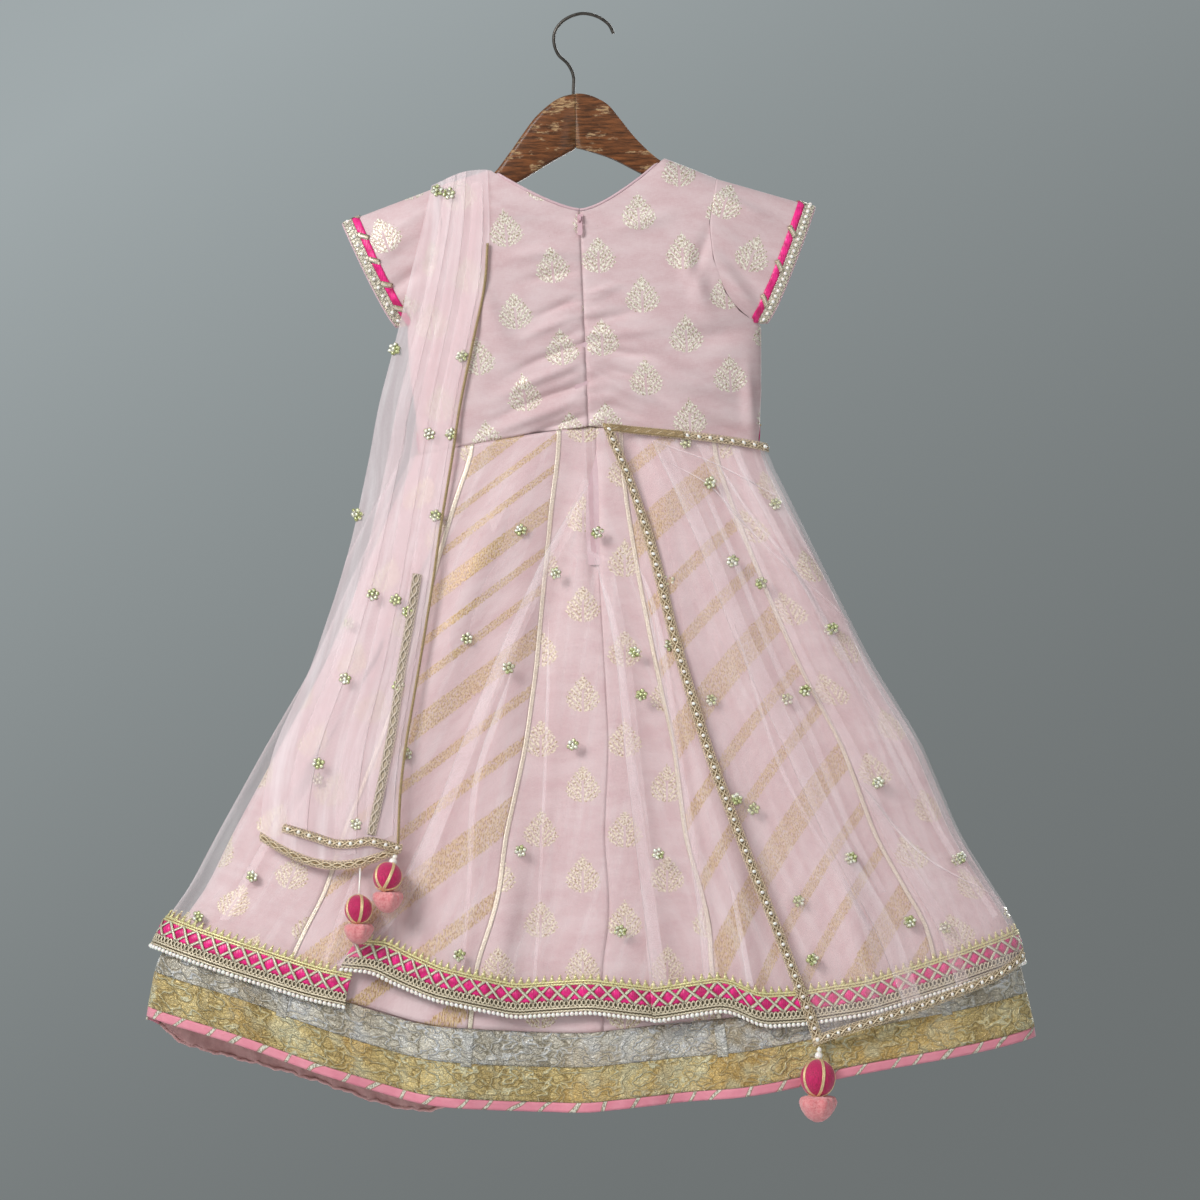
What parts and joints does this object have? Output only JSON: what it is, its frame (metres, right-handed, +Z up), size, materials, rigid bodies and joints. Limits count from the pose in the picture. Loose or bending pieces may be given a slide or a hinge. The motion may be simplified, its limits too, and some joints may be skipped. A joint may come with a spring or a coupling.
{
  "type": "anarkali gown on a hanger",
  "caption": "Child's anarkali gown with cap sleeves, a flared brocade skirt, a sheer net over-skirt and a sewn-on net dupatta, hung on a wooden hanger.",
  "frame": {"origin": "inside top of the hanger's hook, where a rod carries it", "axes": "+Z up, the back of the gown with its zip faces -Y, and +X is to the right of someone looking at that back"},
  "size_m": [0.8183, 0.1712, 1.0139],
  "materials": {
    "brocade": "pale pink brocade with woven gold and silver leaf motifs",
    "stripe": "pale pink brocade with slanting gold lurex stripes",
    "net": "sheer pale pink net",
    "silver_zari": "silver metal-thread weave",
    "gold_zari": "gold metal-thread weave",
    "facing": "bright pink satin",
    "lining": "dusty pink lining",
    "magenta": "magenta satin",
    "lace": "antique gold lace",
    "zip_metal": "pale metal",
    "pompom": "salmon yarn",
    "wood": "worn brown varnish",
    "wire": "dull dark wire",
    "piping": "pale pink satin"
  },
  "bodies": {
    "gown": {"bodice_back_left": "brocade", "bodice_back_right": "brocade", "bodice_front": "brocade", "sleeve_left": "brocade", "sleeve_right": "brocade", "skirt_back_outer_left": "brocade", "skirt_back_centre_left": "brocade", "skirt_back_centre_right": "brocade", "skirt_back_outer_right": "brocade", "skirt_front_outer_left": "brocade", "skirt_front_centre": "brocade", "skirt_front_outer_right": "brocade", "skirt_back_stripe_left": "stripe", "skirt_back_stripe_right": "stripe", "skirt_front_stripe_left": "stripe", "skirt_front_stripe_right": "stripe", "net_back_left": "net", "net_back_centre": "net", "net_back_right": "net", "net_front": "net", "dupatta_left": "net", "dupatta_right": "net", "silver_band_back": "silver_zari", "silver_band_front": "silver_zari", "gota_tape_1": "silver_zari", "gota_tape_2": "silver_zari", "gota_tape_3": "silver_zari", "gota_tape_4": "silver_zari", "gold_band_back": "gold_zari", "gold_band_front": "gold_zari", "hem_facing_back": "facing", "hem_facing_front": "facing", "lining_edge_front": "lining", "waist_band_front": "magenta", "sleeve_left_ribbon": "magenta", "sleeve_right_ribbon": "magenta", "net_lace_back_left": "magenta", "net_lace_back_centre": "magenta", "net_lace_back_right": "magenta", "net_lace_front": "magenta", "latkan_right_ball": "magenta", "latkan_left_upper_ball": "magenta", "latkan_left_lower_ball": "magenta", "sleeve_left_lace": "lace", "sleeve_right_lace": "lace", "dupatta_left_edge_lace": "lace", "dupatta_left_hem_lace": "lace", "dupatta_right_edge_lace": "lace", "dupatta_right_hem_lace": "lace", "latkan_right_bead": "lace", "latkan_left_upper_bead": "lace", "zip_slider": "zip_metal", "latkan_right_pompom": "pompom", "latkan_left_upper_pompom": "pompom", "latkan_left_lower_pompom": "pompom", "hanger_wood": "wood", "hanger_hook": "wire", "neck_piping": "piping", "zip_tape": "piping"},
    "pull_tab": {"zip_pull_tab": "zip_metal"}
  },
  "joints": [
    {"name": "zip_pull", "type": "hinge", "parent": "gown", "child": "pull_tab", "pos_m": [-0.00083, -0.02655, -0.189], "axis": [-1, 0, 0], "range_deg": [0, 150]}
  ]
}
